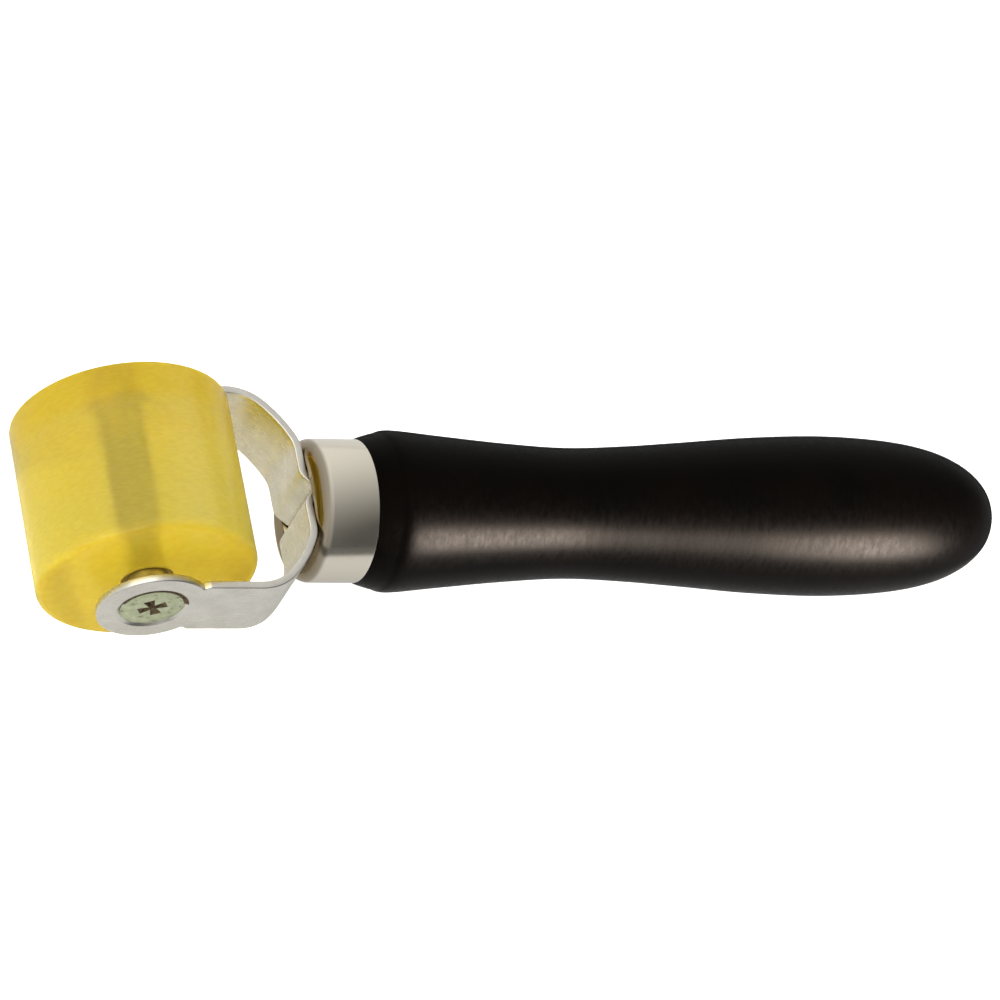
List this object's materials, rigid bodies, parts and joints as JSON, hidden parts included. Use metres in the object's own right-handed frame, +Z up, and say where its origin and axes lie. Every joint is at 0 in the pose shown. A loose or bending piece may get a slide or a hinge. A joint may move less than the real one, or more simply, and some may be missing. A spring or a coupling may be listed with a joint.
{
  "type": "hand roller",
  "caption": "Small hand roller: a translucent rubber tyre on a steel core, turning on a bolt in a stamped two-part yoke with a ferruled black handle.",
  "frame": {"origin": "the point under the roller's axis where the yoke's middle plane meets the work", "axes": "+X along the handle away from the roller, +Y along the roller's axis, +Z up from the work"},
  "size_m": [0.1845, 0.04, 0.0381],
  "materials": {
    "tyre_rubber": "translucent amber, lightly matt",
    "core_steel": "plain steel",
    "washer_brass": "dull",
    "zinc_screw": "yellowish zinc plate",
    "nickel_strip": "satin nickel plate",
    "ferrule_chrome": "polished nickel plate",
    "black_lacquer": "black satin lacquer on turned wood"
  },
  "bodies": {
    "frame": {"handle": "black_lacquer", "ferrule": "ferrule_chrome", "tail_pin": "core_steel", "yoke_near": "nickel_strip", "yoke_far": "nickel_strip", "axle_barrel": "zinc_screw", "axle_screw": "zinc_screw"},
    "roller": {"roller_tyre": "tyre_rubber", "roller_core": "core_steel", "washer_near": "washer_brass", "washer_far": "washer_brass"}
  },
  "joints": [
    {"name": "roller_spin", "type": "hinge", "parent": "frame", "child": "roller", "pos_m": [0, 0.0013, 0.01905], "axis": [0, 1, 0], "continuous": true}
  ]
}
